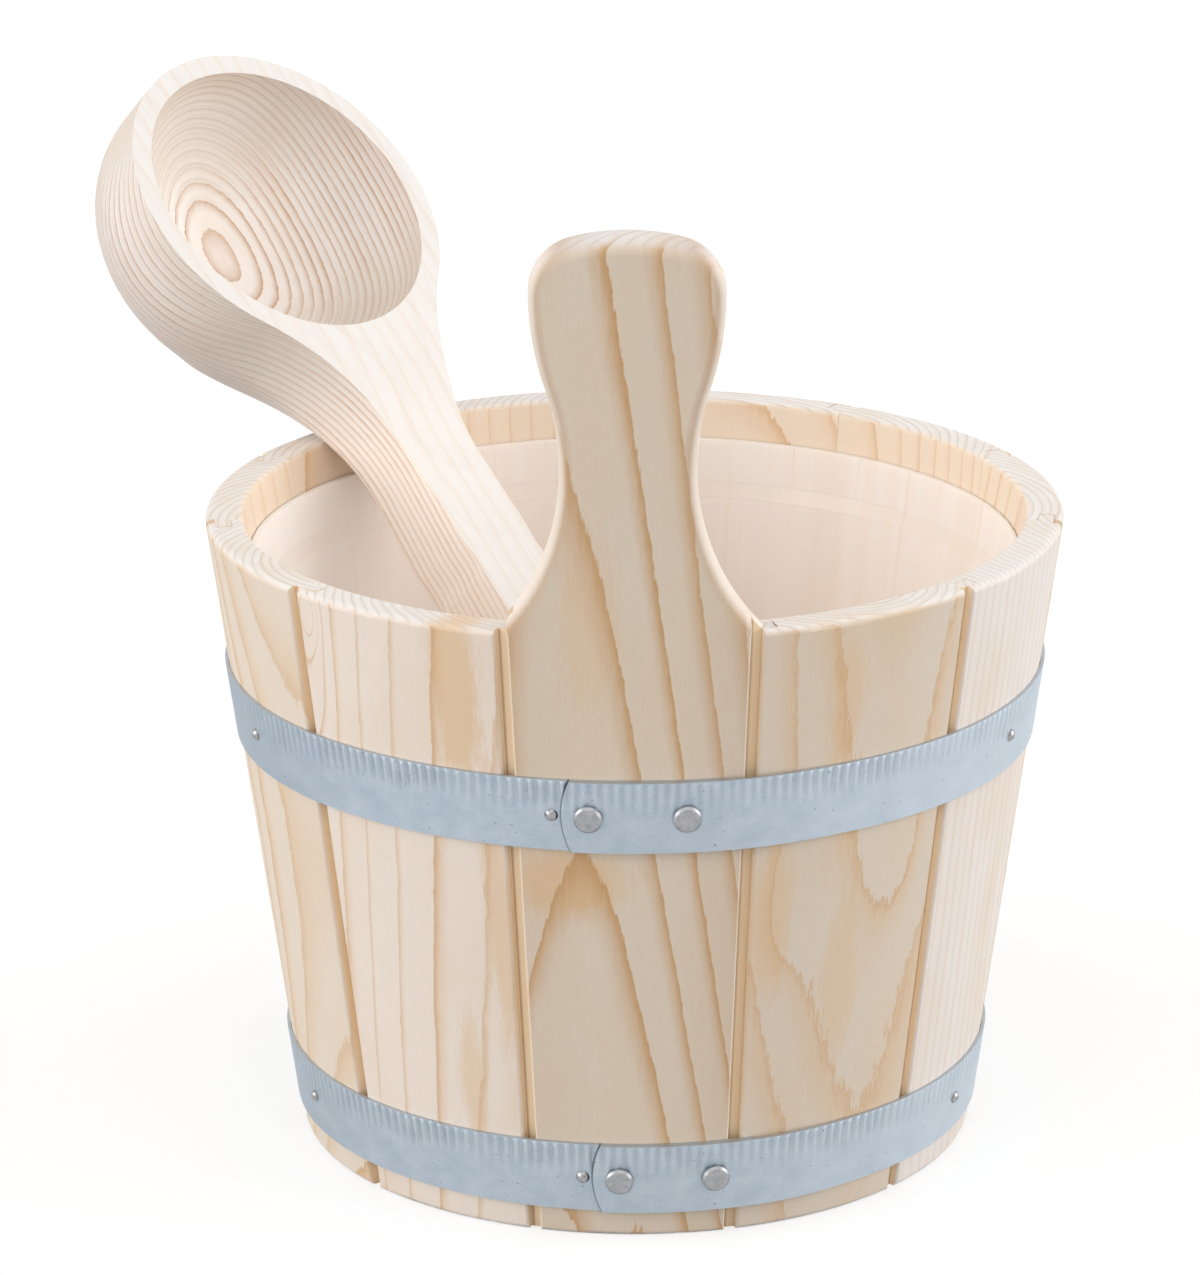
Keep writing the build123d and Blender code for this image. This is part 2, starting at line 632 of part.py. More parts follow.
with BuildPart() as ladle_blank:
    with BuildSketch(Plane.XZ) as bowl_profile:
        Rectangle(BOWL_RADIUS, BOWL_DEPTH, align=(Align.MIN, Align.MAX))
        fillet(bowl_profile.vertices().group_by(Axis.Y)[0].sort_by(Axis.X)[-1], radius=BOWL_CORNER)
        Rectangle(BOWL_RADIUS, OVERRUN, align=(Align.MIN, Align.MIN))
    revolve(axis=Axis.Z)
    loft([ladle_section(LADLE_SWELL_END * share) for share in LADLE_RUN_SHARES])
    extrude(ladle_section(LADLE_SWELL_END), amount=LADLE_REACH - LADLE_SWELL_END)
    with BuildSketch(Plane.XY.offset(-BOWL_DEPTH - OVERRUN)) as plan:
        with BuildLine():
            Polyline((0, 0), (FLARE_START, FLARE_START_HALF))
            RadiusArc(
                (FLARE_START, FLARE_START_HALF),
                (FLARE_END, HANDLE_HALF),
                -LADLE_FLARE_RADIUS,
            )
            Polyline((FLARE_END, HANDLE_HALF), (LADLE_REACH, HANDLE_HALF), (LADLE_REACH, 0))
            mirror(about=Plane.XZ)
        make_face()
        fillet(plan.vertices().group_by(Axis.X)[-1], radius=LADLE_END_ROUND)
        Circle(BOWL_RADIUS)
    extrude(amount=BOWL_DEPTH + OVERRUN + OVERRUN, mode=Mode.INTERSECT)
    with BuildSketch(Plane.XZ):
        with BuildLine():
            dip_reach = (FLARE_END - BOWL_RADIUS) / 2
            Polyline((-BOWL_RADIUS - OVERRUN, 0), (BOWL_RADIUS, 0))
            Bezier(
                (BOWL_RADIUS, 0),
                (BOWL_RADIUS + dip_reach, 0),
                (FLARE_END - dip_reach, -LADLE_TOP_DIP),
                (FLARE_END, -LADLE_TOP_DIP),
            )
            Polyline(
                (FLARE_END, -LADLE_TOP_DIP),
                (LADLE_REACH + OVERRUN, -LADLE_TOP_DIP),
                (LADLE_REACH + OVERRUN, OVERRUN + OVERRUN),
                (-BOWL_RADIUS - OVERRUN, OVERRUN + OVERRUN),
                (-BOWL_RADIUS - OVERRUN, 0),
            )
        make_face()
    extrude(amount=BOWL_RADIUS + OVERRUN, both=True, mode=Mode.SUBTRACT)
    with BuildSketch(Plane.XZ):
        with BuildLine():
            Bezier(
                (HOLLOW_RADIUS, 0),
                (HOLLOW_RADIUS, -HOLLOW_DEPTH * CURVE_SHARE),
                (HOLLOW_RADIUS * CURVE_SHARE, -HOLLOW_DEPTH),
                (0, -HOLLOW_DEPTH),
            )
            Polyline((0, -HOLLOW_DEPTH), (0, OVERRUN), (HOLLOW_RADIUS, OVERRUN), (HOLLOW_RADIUS, 0))
        make_face()
    revolve(axis=Axis.Z, mode=Mode.SUBTRACT)


def bowl_centre(tilt):
    """Distance out and height of the bowl's centre when the handle's end is on the floor."""
    out = LADLE_REACH * math.cos(tilt) - LADLE_HANDLE_DEPTH * math.sin(tilt) - LADLE_FOOT_PAST
    height = LADLE_REACH * math.sin(tilt) + LADLE_HANDLE_DEPTH * math.cos(tilt)
    return out, LINER_FLOOR + LADLE_FIT + height


def clears_rim(tilt):
    """Whether the ladle's underside passes clear above the rounded rim."""
    out, height = bowl_centre(tilt)
    rim_height = STAVE_HEIGHT - RIM_ROUND
    rim_centre = inner_radius(rim_height) + RIM_ROUND / math.cos(TAPER)
    edge = abs(LADLE_ASIDE) + HANDLE_HALF - LADLE_HANDLE_CORNER
    out -= math.sqrt(rim_centre**2 - edge**2)
    height -= rim_height
    along = out * math.cos(tilt) + height * math.sin(tilt)
    above = height * math.cos(tilt) - out * math.sin(tilt)
    samples = [LADLE_REACH * index / REST_SAMPLES for index in range(REST_SAMPLES + 1)]
    gap = min(math.hypot(sample - along, above - ladle_depth(sample)) for sample in samples)
    return above > ladle_depth(along) and gap > RIM_ROUND + LADLE_FIT


def ladle_rest():
    """Place of the ladle, standing in the liner and leaning on the rim."""
    flat = 0
    steep = math.pi / 2
    for _ in range(REST_STEPS):
        tilt = (flat + steep) / 2
        if clears_rim(tilt):
            steep = tilt
        else:
            flat = tilt
    out, height = bowl_centre(steep)
    outwards = radial(LADLE_AZIMUTH)
    up = Vector(0, 0, 1)
    centre = outwards * out + up * height - tangent(LADLE_AZIMUTH) * LADLE_ASIDE
    return Plane(
        origin=centre,
        x_dir=outwards * -math.cos(steep) - up * math.sin(steep),
        z_dir=outwards * -math.sin(steep) + up * math.cos(steep),
    )


with BuildPart() as ladle:
    with Locations(ladle_rest()):
        add(ladle_blank.part)

ladle.part.label = "ladle"
export_step(ladle.part, "parts/ladle.step")
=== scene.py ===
"""Looks of the wooden piggin: pine staves, galvanised hoops, a milky liner and a pale ladle."""

import math

import bpy
from mathutils import Matrix, Vector

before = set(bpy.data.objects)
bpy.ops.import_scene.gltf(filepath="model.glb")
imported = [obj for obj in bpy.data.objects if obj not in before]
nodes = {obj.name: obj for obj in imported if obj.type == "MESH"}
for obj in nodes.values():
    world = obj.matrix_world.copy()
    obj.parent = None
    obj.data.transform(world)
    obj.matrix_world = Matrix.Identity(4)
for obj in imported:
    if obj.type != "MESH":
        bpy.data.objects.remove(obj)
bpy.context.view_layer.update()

# Driving sizes. The shaders work in millimetres; the frame, bumps and light depths are in metres
MM = 1000.0
STAVE_COUNT = 11
STAVE_STEP = 360.0 / STAVE_COUNT
HALF_TURN = math.pi / STAVE_COUNT
FOOT_RADIUS = 92.0
TAPER_SLOPE = 23.7 / 174.0

ORIGIN = Vector((0.0, 0.0, 0.0))
TO_RIGHT = Vector((1.0, 0.0, 0.0))
TO_BACK = Vector((0.0, 1.0, 0.0))
UP = Vector((0.0, 0.0, 1.0))


def radial(azimuth):
    """Level direction out of the barrel; azimuth 0 is the front, growing towards +X."""
    angle = math.radians(azimuth)
    return Vector((math.sin(angle), -math.cos(angle), 0.0))


def tangent(azimuth):
    """Level direction along the barrel, towards growing azimuth."""
    angle = math.radians(azimuth)
    return Vector((math.cos(angle), math.sin(angle), 0.0))


def linear(red, green, blue):
    """Linear colour of an 8-bit screen colour."""
    values = []
    for level in (red, green, blue):
        level /= 255.0
        values.append(level / 12.92 if level <= 0.04045 else ((level + 0.055) / 1.055) ** 2.4)
    return (*values, 1.0)


# Shader helpers. A saw's tooth rises to its peak and falls from there to the end of the turn
SAW_PEAK = 0.93


class Graph:
    """Short names for the nodes of one material, or of the world."""

    def __init__(self, owner, output="ShaderNodeOutputMaterial"):
        owner.use_nodes = True
        self.owner = owner
        self.tree = owner.node_tree
        self.tree.nodes.clear()
        self.output = self.add(output)
        self.color = None

    def add(self, kind, **settings):
        node = self.tree.nodes.new(kind)
        for key, value in settings.items():
            setattr(node, key, value)
        return node

    def feed(self, socket, value):
        if isinstance(value, bpy.types.NodeSocket):
            self.tree.links.new(value, socket)
        else:
            socket.default_value = value

    def coordinate(self, kind):
        return self.add("ShaderNodeTexCoord").outputs[kind]

    def place(self):
        """Place on the object in millimetres."""
        scaled = self.vector("SCALE", self.coordinate("Object"))
        scaled.node.inputs["Scale"].default_value = MM
        return scaled

    def split(self, vector):
        node = self.add("ShaderNodeSeparateXYZ")
        self.feed(node.inputs[0], vector)
        return node.outputs

    def combine(self, x, y, z):
        node = self.add("ShaderNodeCombineXYZ")
        for socket, value in zip(node.inputs, (x, y, z)):
            self.feed(socket, value)
        return node.outputs[0]

    def vector(self, operation, *values):
        node = self.add("ShaderNodeVectorMath", operation=operation)
        for socket, value in zip(node.inputs, values):
            self.feed(socket, value)
        scalar = operation in ("DOT_PRODUCT", "LENGTH")
        return node.outputs[1 if scalar else 0]

    def math(self, operation, *values):
        node = self.add("ShaderNodeMath", operation=operation)
        for socket, value in zip(node.inputs, values):
            self.feed(socket, value)
        return node.outputs[0]

    def times(self, product, *others):
        for other in others:
            product = self.math("MULTIPLY", product, other)
        return product

    def line(self, value, slope, start):
        """Start, plus slope for each one of the value."""
        return self.math("MULTIPLY_ADD", value, slope, start)

    def fade(self, mask, depth):
        """One, falling by depth where the mask is one."""
        return self.line(mask, -depth, 1.0)

    def centred(self, noise):
        return self.math("SUBTRACT", noise, 0.5)

    def along_normal(self, axis):
        return self.vector("DOT_PRODUCT", self.coordinate("Normal"), tuple(axis))

    def span(self, value, low, high, out_low=0.0, out_high=1.0, smooth=False):
        """Slope from low to high, level past both."""
        kind = "SMOOTHSTEP" if smooth else "LINEAR"
        node = self.add("ShaderNodeMapRange", interpolation_type=kind, clamp=True)
        for socket, item in zip(node.inputs, (value, low, high, out_low, out_high)):
            self.feed(socket, item)
        return node.outputs[0]

    def window(self, value, rise, fall):
        """Product of two slopes, each given as span takes it."""
        return self.times(self.span(value, *rise), self.span(value, *fall))

    def saw(self, turns, start):
        """Tooth in each whole turn: nothing up to start, then a slow rise and a steep fall."""
        return self.window(self.math("FRACT", turns), (start, SAW_PEAK), (SAW_PEAK, 1.0, 1.0, 0.0))

    def noise(self, vector, scale=1.0, detail=2.0, roughness=0.5, output="Fac"):
        node = self.add("ShaderNodeTexNoise")
        self.feed(node.inputs["Vector"], vector)
        node.inputs["Scale"].default_value = scale
        node.inputs["Detail"].default_value = detail
        node.inputs["Roughness"].default_value = roughness
        return node.outputs[output]

    def chance(self, number, seed):
        """One random value for each whole number."""
        node = self.add("ShaderNodeTexWhiteNoise", noise_dimensions="1D")
        self.feed(node.inputs["W"], self.math("ADD", number, seed))
        return node.outputs["Value"]

    def mix(self, share, first, second):
        node = self.add("ShaderNodeMix", data_type="RGBA")
        self.feed(node.inputs[0], share)
        self.feed(node.inputs[6], first)
        self.feed(node.inputs[7], second)
        return node.outputs[2]

    def lay(self, share, tone):
        """Mixes a tone into the colour made so far."""
        self.color = self.mix(share, self.color, tone)

    def bump(self, height, strength, distance):
        node = self.add("ShaderNodeBump")
        self.feed(node.inputs["Height"], height)
        node.inputs["Strength"].default_value = strength
        node.inputs["Distance"].default_value = distance
        return node.outputs["Normal"]

    def seen(self):
        """One for the rays that show a surface itself, and nothing for those that light others."""
        path = self.add("ShaderNodeLightPath")
        shown = self.math("MAXIMUM", path.outputs["Is Camera Ray"], path.outputs["Is Glossy Ray"])
        return self.math("MAXIMUM", shown, path.outputs["Is Transmission Ray"])

    def surface(self, roughness, normal, **settings):
        """The material, with the colour made so far."""
        shader = self.add("ShaderNodeBsdfPrincipled")
        self.feed(shader.inputs["Base Color"], self.color)
        self.feed(shader.inputs["Roughness"], roughness)
        self.feed(shader.inputs["Normal"], normal)
        for key, value in settings.items():
            shader.inputs[key.replace("_", " ")].default_value = value
        self.feed(self.output.inputs["Surface"], shader.outputs[0])
        return self.owner


# Wood. A noise's stretch is its turns for each millimetre across, outwards and along the piece
SWERVE_STRETCH = (0.03, 0.03, 0.012)
STEP_STRETCH = (0.42, 0.42, 0.03)
TEETH_STRETCH = (1.1, 1.1, 0.07)
FIBRE_STRETCH = (1.5, 1.5, 0.035)
DASH_STRETCH = (3.1, 3.1, 0.16)
CLOUD_SCALE = 1.4
CLOUD_SHIFT = (3.0, 1.0)
TEETH_SHARE = 0.8
ARC_SPACING = 2.4
WOOD_BUMP = 0.00015

# Late wood, in shares of a ring: how far its start can move on, where it ends, and its crisp line
RING_START_SPREAD = 0.25
RING_EDGE_AT = 0.975
CRISP_FROM = 0.84
CRISP_FULL = 0.97
RING_RISE_POWER = 1.4

# Strength of the faintest ring, and the shift of the seed that the strengths are drawn with
FAINTEST_RING = 0.65
STRENGTH_SEED = 7.3

HONEY = linear(228, 203, 172)
AMBER = linear(228, 194, 154)
RING_EDGE = linear(196, 152, 106)
END_ARCS = linear(192, 172, 150)
DASHES = linear(176, 128, 84)
SIDE_PAINTED_SHADE = linear(190, 158, 128)
EDGE_PAINTED_HIGHLIGHT = linear(247, 238, 229)


class Grain:
    """How a piece lies in its log and how strongly it is marked, in millimetres and rings."""

    # How the log's heart moves across and outwards: for each millimetre along, and for each squared
    lean = (0.0, 0.0)
    bow = (0.0, 0.0)

    # Rings: spacing, shift in rings, and 1 or -1 for late wood away from the heart or towards it
    ring = 5.9
    shift = 0.0
    sense = 1.0
    seed = 0.0

    # Slow swerve in millimetres, ragged edges in rings, and bulges: across, along, wide, tall, rings
    warp = 1.6
    jag = 0.10
    swells = ()

    # Strength of the late wood, where it starts within a ring, and strength of the painted shade and
    # highlight on the sides
    contrast = 1.0
    soft_from = 0.45
    painted_side_light = 0.0

    # Warmer patches: across, along, wide, tall, depth
    patches = ()

    # Colours of the early wood, the late wood and the end grain
    early = linear(231, 217, 200)
    late = linear(224, 187, 143)
    end = linear(237, 232, 228)

    def __init__(self, pith, **changes):
        """Pith is the heart's place across and outwards of the piece's origin."""
        self.pith = pith
        for name, value in changes.items():
            setattr(self, name, value)


class Wood(Graph):
    """Solid wood: growth rings round the log's heart, and fibres along the piece."""

    def __init__(self, name, place, grain):
        super().__init__(bpy.data.materials.new(name))
        origin, across, outward, fibre = place
        self.grain = grain
        here = self.vector("SUBTRACT", self.coordinate("Object"), tuple(origin))
        self.u = self.vector("DOT_PRODUCT", here, tuple(across * MM))
        self.v = self.vector("DOT_PRODUCT", here, tuple(outward * MM))
        self.w = self.vector("DOT_PRODUCT", here, tuple(fibre * MM))
        self.outwards = self.along_normal(outward)
        self.turned = self.math("ABSOLUTE", self.along_normal(across))
        lengthwise = self.math("ABSOLUTE", self.along_normal(fibre))
        self.end_grain = self.span(lengthwise, 0.25, 0.75, smooth=True)
        self.make_noises(grain.seed)
        self.make_rings(grain)
        self.make_late_wood(grain)
        self.make_early_wood(grain)

    def stretched(self, stretch, offset=(0.0, 0.0, 0.0), **settings):
        """Noise drawn out along the fibres."""
        place = self.vector("MULTIPLY", self.combine(self.u, self.v, self.w), stretch)
        return self.noise(self.vector("ADD", place, offset), **settings)

    def near(self, at_across, at_along, wide, tall):
        """One at a spot on the piece's face, fading to nothing round it."""
        near_u = self.times(self.math("SUBTRACT", self.u, at_across), 1.0 / wide)
        near_w = self.times(self.math("SUBTRACT", self.w, at_along), 1.0 / tall)
        far = self.line(near_u, near_u, self.times(near_w, near_w))
        return self.math("EXPONENT", self.times(far, -1.0))

    def make_noises(self, seed):
        self.swerve = self.stretched(SWERVE_STRETCH, (seed, seed, 0.0), detail=1.0, output="Color")
        cloud_place = (seed + CLOUD_SHIFT[0], seed + CLOUD_SHIFT[1], seed)
        self.cloud = self.stretched(SWERVE_STRETCH, cloud_place, scale=CLOUD_SCALE, detail=3.0)
        self.steps = self.stretched(STEP_STRETCH, (0.0, seed, seed), detail=4.0, roughness=0.7)
        self.teeth = self.stretched(TEETH_STRETCH, (seed, 0.0, 0.0), detail=3.0, roughness=0.75)
        self.fibres = self.stretched(FIBRE_STRETCH, detail=4.0, roughness=0.65)
        self.dashes = self.span(self.stretched(DASH_STRETCH, detail=1.0), 0.66, 0.78)

    def make_rings(self, grain):
        """Distance from the heart, and a phase that changes by one from ring to ring."""
        square = self.times(self.w, self.w)
        arm = []
        for place, pith, lean, bow in zip((self.u, self.v), grain.pith, grain.lean, grain.bow):
            heart = self.line(square, bow, self.line(self.w, lean, pith))
            arm.append(self.math("SUBTRACT", place, heart))
        swerve = self.vector("SUBTRACT", self.swerve, (0.5, 0.5, 0.5))
        swerve = self.vector("MULTIPLY", swerve, (grain.warp, grain.warp, 0.0))
        self.distance = self.vector("LENGTH", self.vector("ADD", self.combine(*arm, 0.0), swerve))

        phase = self.line(self.distance, grain.sense / grain.ring, grain.shift)
        for *spot, rings in grain.swells:
            phase = self.line(self.near(*spot), rings, phase)
        phase = self.line(self.centred(self.steps), grain.jag, phase)
        self.phase = self.line(self.centred(self.teeth), grain.jag * TEETH_SHARE, phase)

    def make_late_wood(self, grain):
        """Soft band of each ring, and the crisp line that ends it; both differ from ring to ring."""
        number = self.math("FLOOR", self.phase)
        share = self.math("FRACT", self.phase)
        start = self.line(self.chance(number, grain.seed), RING_START_SPREAD, grain.soft_from)
        rise = self.math("POWER", self.span(share, start, RING_EDGE_AT), RING_RISE_POWER)
        fall = self.span(share, RING_EDGE_AT, 1.0, 1.0, 0.0)
        strength = self.chance(number, grain.seed + STRENGTH_SEED)
        strength = self.line(strength, 1.0 - FAINTEST_RING, FAINTEST_RING)
        self.band = self.times(rise, fall, strength)
        self.crisp = self.times(self.span(share, CRISP_FROM, CRISP_FULL), fall, strength)

    def make_early_wood(self, grain):
        """Ground colour, with slow clouds and the piece's own patches."""
        self.color = self.mix(self.end_grain, grain.early, grain.end)
        self.lay(self.span(self.cloud, 0.45, 0.75, 0.0, 0.4), HONEY)
        for *spot, depth in grain.patches:
            ragged = self.line(self.centred(self.steps), 0.8, self.near(*spot))
            ragged = self.line(self.centred(self.fibres), 0.7, ragged)
            self.lay(self.span(ragged, 0.22, 0.70, 0.0, depth), AMBER)

    def lay_late_wood(self, *shares):
        amount = self.times(self.band, self.fade(self.end_grain, 0.8), self.grain.contrast, *shares)
        self.lay(amount, self.grain.late)
        self.lay(self.times(self.crisp, amount, 0.6), RING_EDGE)

    def lay_fibres(self):
        """Arcs on the end grain, fibres and short dashes, and painted shade and highlight on the turned
        sides.
        """
        painted_side_light = self.grain.painted_side_light
        arcs = self.saw(self.times(self.distance, 1.0 / ARC_SPACING), 0.55)
        self.lay(self.times(arcs, self.end_grain, 0.42), END_ARCS)
        self.lay(self.span(self.fibres, 0.35, 0.75, 0.0, 0.10), self.grain.late)
        self.lay(self.times(self.dashes, 0.10), DASHES)
        # Painted shade where the sides start to turn, and a painted highlight on the turned edges
        side_shade_mask = self.window(self.turned, (0.10, 0.45), (0.95, 0.60, 0.25, 1.0))
        self.lay(self.times(side_shade_mask, painted_side_light), SIDE_PAINTED_SHADE)
        self.lay(self.times(self.span(self.turned, 0.5, 0.8), 1.1 * painted_side_light), EDGE_PAINTED_HIGHLIGHT)

    def finish(self):
        rough = self.line(self.fibres, 0.22, 0.46)
        height = self.math("ADD", self.times(self.fibres, 0.6), self.times(self.band, 0.35))
        return self.surface(rough, self.bump(height, 0.3, WOOD_BUMP), Specular_IOR_Level=0.3)


def plain_wood(name, place, grain):
    """Wood with nothing but its grain, for the bottom's boards and dowels."""
    wood = Wood(name, place, grain)
    wood.lay_late_wood()
    wood.lay_fibres()
    return wood.finish()


def dress(node, material):
    """Puts one material on every slot of a node."""
    mesh = nodes[node].data
    mesh.materials.clear()
    mesh.materials.append(material)


# Staves. Past is how far a point lies beyond the plane of the nearer seam, negative on the stave
# Sunk line at each seam: a pale warm tan, partly the wood's own tone and partly painted light against
# the groove's shade, with a painted shadow in its corner
SLOT_EDGE = (-1.75, -1.5)
SLOT_SHADOW_RISE = (-0.4, -0.95, 0.0, 0.65)
SLOT_SHADOW_FALL = (-1.4, -1.15)
INNER_WALL = linear(236, 219, 198)
SLOT_TONE_AND_LIGHT = linear(252, 228, 192)
SLOT_PAINTED_SHADOW = linear(164, 122, 84)


def stave_wood(name, place, grain):
    """Wood with an evener inner wall, and in the sunk line beside each seam a warm tan, partly painted
    light, with a painted shadow in its corner.
    """
    wood = Wood(name, place, grain)
    inside = wood.span(wood.outwards, -0.4, -0.8)
    wood.lay(wood.times(inside, 0.75), INNER_WALL)
    wood.lay_late_wood(wood.fade(inside, 0.3))
    wood.lay_fibres()

    sideways = wood.times(wood.math("ABSOLUTE", wood.u), math.cos(HALF_TURN))
    past = wood.line(wood.v, -math.sin(HALF_TURN), sideways)
    # Painted shadow in the groove's corner, only on the stave's side of growing azimuth
    corner_shadow = wood.window(past, SLOT_SHADOW_RISE, SLOT_SHADOW_FALL)
    corner_shadow = wood.times(corner_shadow, wood.span(wood.u, 0.0, 1.0))
    deep = wood.times(wood.span(past, *SLOT_EDGE), wood.fade(wood.end_grain, 1.0))
    deep = wood.times(deep, wood.fade(inside, 1.0), 0.9)
    wood.lay(deep, wood.mix(corner_shadow, SLOT_TONE_AND_LIGHT, SLOT_PAINTED_SHADOW))
    return wood.finish()


STAVE_GRAIN = {
    # Early wood: the paler tones of stave_02 and stave_10 are partly their own and partly painted sheen;
    # the handle stave's darker tone is partly painted shade at the front
    "handle_stave": Grain(
        pith=(1.3, 85.0), lean=(-0.128, 0.060), bow=(0.0002, 0.0), ring=8.0, shift=-1.88, seed=1.7,
        jag=0.15, contrast=1.05, soft_from=0.4, painted_side_light=0.5,
        swells=((-14.0, 82.0, 9.0, 18.0, -0.3), (-26.0, 40.0, 12.0, 40.0, -1.6)),
        patches=((-10.0, 176.0, 8.0, 26.0, 0.45), (-16.0, 104.0, 15.0, 10.0, 0.8)),
        early=linear(227, 212, 194), late=linear(208, 165, 116), end=linear(225, 221, 220),
    ),
    "stave_01": Grain(
        pith=(6.0, 52.0), lean=(0.0, 0.235), ring=6.6, shift=0.35, sense=-1.0, seed=4.1,
        warp=5.0, jag=0.40, contrast=0.85, soft_from=0.2,
        swells=((-20.0, 96.0, 9.0, 22.0, 0.7), (14.0, 104.0, 9.0, 20.0, 0.5)),
        patches=(
            (-6.0, 152.0, 5.0, 20.0, 0.5),
            (-23.0, 92.0, 6.0, 26.0, 0.6),
            (-1.0, 70.0, 6.0, 24.0, 0.5),
        ),
        early=linear(225, 211, 195),
    ),
    "stave_02": Grain(
        pith=(62.0, 150.0), lean=(0.03, 0.0), ring=3.6, shift=0.1, seed=8.3,
        warp=3.4, jag=0.2, contrast=0.34, soft_from=0.25,
        early=linear(241, 234, 229),
    ),
    "stave_03": Grain(pith=(-14.0, 60.0), lean=(0.02, 0.05), ring=3.9, shift=0.4, seed=3.6, jag=0.2),
    "stave_04": Grain(pith=(28.0, 62.0), lean=(-0.03, 0.04), ring=3.9, seed=5.9, warp=3.0, contrast=0.8),
    "stave_05": Grain(
        pith=(6.0, 74.0), lean=(0.01, -0.10), ring=6.5, shift=0.2, seed=6.4, jag=0.2, soft_from=0.3,
    ),
    "stave_06": Grain(
        pith=(-40.0, 78.0), lean=(0.05, 0.02), ring=5.4, shift=0.5, seed=9.2, warp=2.6, contrast=0.6,
    ),
    "stave_07": Grain(pith=(4.0, 58.0), lean=(0.0, 0.07), ring=6.0, shift=0.7, seed=2.8),
    "stave_08": Grain(
        pith=(24.0, 60.0), lean=(0.0, 0.06), ring=6.2, shift=0.3, seed=7.7, warp=2.6, contrast=0.6,
    ),
    "stave_09": Grain(
        pith=(18.0, 57.0), lean=(0.0, -0.085), bow=(0.0, 0.0012), ring=6.0, shift=0.35, seed=0.9,
        jag=0.22, contrast=0.8, soft_from=0.2,
        early=linear(234, 220, 204),
    ),
    "stave_10": Grain(
        pith=(22.0, 60.0), lean=(0.03, 0.100), ring=6.4, shift=0.75, seed=5.2,
        warp=2.0, jag=0.14, contrast=0.75, soft_from=0.6,
        swells=((-27.0, 169.0, 4.0, 9.0, 2.5), (-27.0, 152.0, 6.0, 18.0, 1.0)),
        patches=(
            (19.0, 156.0, 7.0, 34.0, 0.75),
            (25.0, 92.0, 4.0, 44.0, 0.6),
            (13.0, 42.0, 4.0, 22.0, 0.5),
        ),
        early=linear(240, 227, 215),
    ),
}

for index, (node, grain) in enumerate(STAVE_GRAIN.items()):
    azimuth = index * STAVE_STEP
    place = (ORIGIN, tangent(azimuth), radial(azimuth), UP)
    dress(node, stave_wood(f"pine_{node}", place, grain))


# Bottom: three boards, each with the heart of its log a step further right, and the dowels
BOARD_PLACE = (ORIGIN, TO_RIGHT, UP, TO_BACK)
BOARD_HEART_FROM = -40.0
BOARD_HEART_STEP = 45.0
BOARD_HEART_HEIGHT = -32.0
BOARD_SEED = 11.0
DOWEL_PLACE = (ORIGIN, TO_BACK, UP, TO_RIGHT)
DOWEL_GRAIN = Grain(
    pith=(30.0, 60.0), ring=1.6, seed=14.0, contrast=0.4,
    early=linear(214, 180, 140), late=linear(180, 138, 96),
)

for number, side in enumerate(("left", "middle", "right")):
    heart = (BOARD_HEART_FROM + BOARD_HEART_STEP * number, BOARD_HEART_HEIGHT)
    grain = Grain(heart, lean=(0.01, 0.02), ring=5.0, shift=0.3 * number, seed=BOARD_SEED + number)
    dress(f"bottom_board_{side}", plain_wood(f"pine_board_{side}", BOARD_PLACE, grain))

dress("bottom_dowels", plain_wood("beech_dowels", DOWEL_PLACE, DOWEL_GRAIN))


# Ladle: paler, partly its own tone and partly painted light, and closer grained. Along it runs from the
# bowl's centre down the handle
LADLE_CENTRE = Vector((-0.0981, 0.0865, 0.2376))
LADLE_ALONG = Vector((0.5342, -0.4652, -0.7059)).normalized()
LADLE_OPEN = Vector((0.5323, -0.4636, 0.7083)).normalized()
LADLE_ACROSS = LADLE_OPEN.cross(LADLE_ALONG)
LADLE_PLACE = (LADLE_CENTRE, LADLE_ACROSS, LADLE_OPEN, LADLE_ALONG)
LADLE_GRAIN = Grain(
    pith=(2.7, -67.2), lean=(0.0, -0.10), ring=2.25, shift=0.32, seed=21.0,
    warp=1.9, jag=0.3, contrast=1.1, soft_from=0.35,
    early=linear(247, 242, 239), late=linear(206, 172, 144), end=linear(232, 226, 219),
)
BOWL_SHADE_FULL = 20.0
BOWL_SHADE_END = 70.0
HANDLE_LIGHT_FROM = 50.0
HANDLE_LIGHT_FULL = 150.0
TOP_FACE_FROM = -9.0
TOP_FACE_FULL = -5.0
TOP_LIGHT_FROM = 60.0
TOP_LIGHT_FULL = 140.0
TOP_LINE_SPACING = 6.2
TOP_LINE_WOBBLE = 1.6
BOWL_PAINTED_SHADE = linear(216, 200, 188)
BOWL_RINGS = linear(190, 164, 142)
HANDLE_PAINTED_LIGHT = linear(252, 241, 228)
TOP_AT_BOWL = linear(234, 230, 226)
TOP_LIT_AT_END = linear(240, 238, 235)
TOP_LINES = linear(226, 202, 174)


